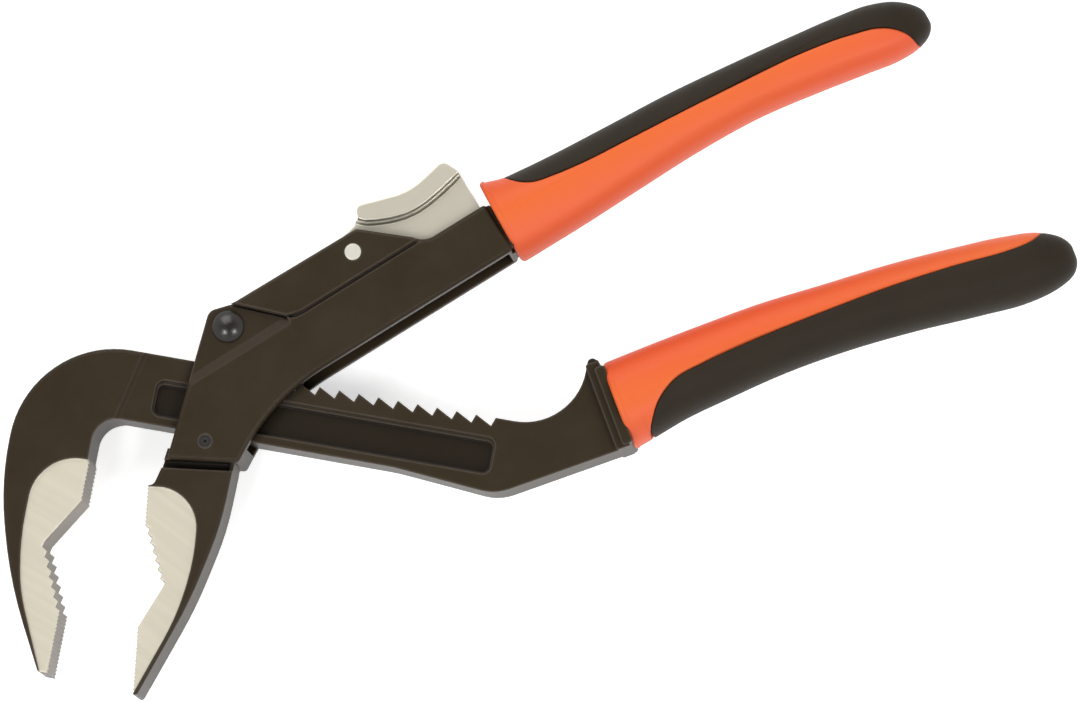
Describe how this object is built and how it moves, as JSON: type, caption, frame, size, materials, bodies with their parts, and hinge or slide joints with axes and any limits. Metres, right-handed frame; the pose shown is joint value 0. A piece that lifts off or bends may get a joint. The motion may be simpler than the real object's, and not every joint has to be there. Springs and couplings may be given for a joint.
{
  "type": "water pump pliers",
  "caption": "Adjustable water pump pliers with toothed bar, push-button pawl, serrated pipe jaws and two-part moulded grips.",
  "frame": {"origin": "centre of the footprint of the tool lying on its side, at its lowest point, at rest", "axes": "+X along the toothed bar from the jaws to the handles, +Y across the bar towards the upper handle, +Z along the pivot rivet"},
  "size_m": [0.204, 0.1646, 0.0176],
  "materials": {
    "dark_steel": "satin dark brown coating on forged steel, ground bare on the jaw flanks",
    "dark_rivet": "satin dark coating",
    "dark_pin": "satin dark coating",
    "pawl_steel": "dark hardened steel",
    "pin_steel": "turned steel",
    "satin_nickel": "satin nickel plate",
    "spring_steel": "bright spring wire",
    "orange_plastic": "satin moulded plastic",
    "soft_black": "matte soft moulding"
  },
  "bodies": {
    "rack_lever": {"fixed_jaw_lever": "dark_steel", "lower_grip_core": "orange_plastic", "lower_grip_pad": "soft_black"},
    "pivot": {"pivot_rivet": "dark_rivet"},
    "moving_lever": {"moving_jaw_lever": "dark_steel", "upper_grip_core": "orange_plastic", "upper_grip_pad": "soft_black", "button_pivot_pin": "pin_steel", "guide_pin": "dark_pin", "button_spring": "spring_steel"},
    "release_button": {"release_button": "satin_nickel"},
    "pawl": {"pawl": "pawl_steel", "pawl_link_pin": "pin_steel"}
  },
  "joints": [
    {"name": "jaw_slide", "type": "slide", "parent": "rack_lever", "child": "pivot", "axis": [1, 0, 0], "range_m": [-0.008, 0.016]},
    {"name": "jaw_pivot", "type": "hinge", "parent": "pivot", "child": "moving_lever", "pos_m": [-0.06257, -0.00635, 0.0088], "axis": [0, 0, 1], "range_deg": [-7, 8]},
    {"name": "button_press", "type": "hinge", "parent": "moving_lever", "child": "release_button", "pos_m": [-0.04051, 0.01264, 0.0088], "axis": [0, 0, -1], "range_deg": [0, 8], "stiffness_Nm_per_rad": 1, "springref_deg": -5.73, "deforming": ["button_spring"]},
    {"name": "pawl_lift", "type": "slide", "parent": "pivot", "child": "pawl", "axis": [0, 1, 0], "range_m": [0, 0.0021]}
  ],
  "couplings": [
    {"joint": "button_press", "follows": "pawl_lift", "rad_per_m": 66.488}
  ]
}
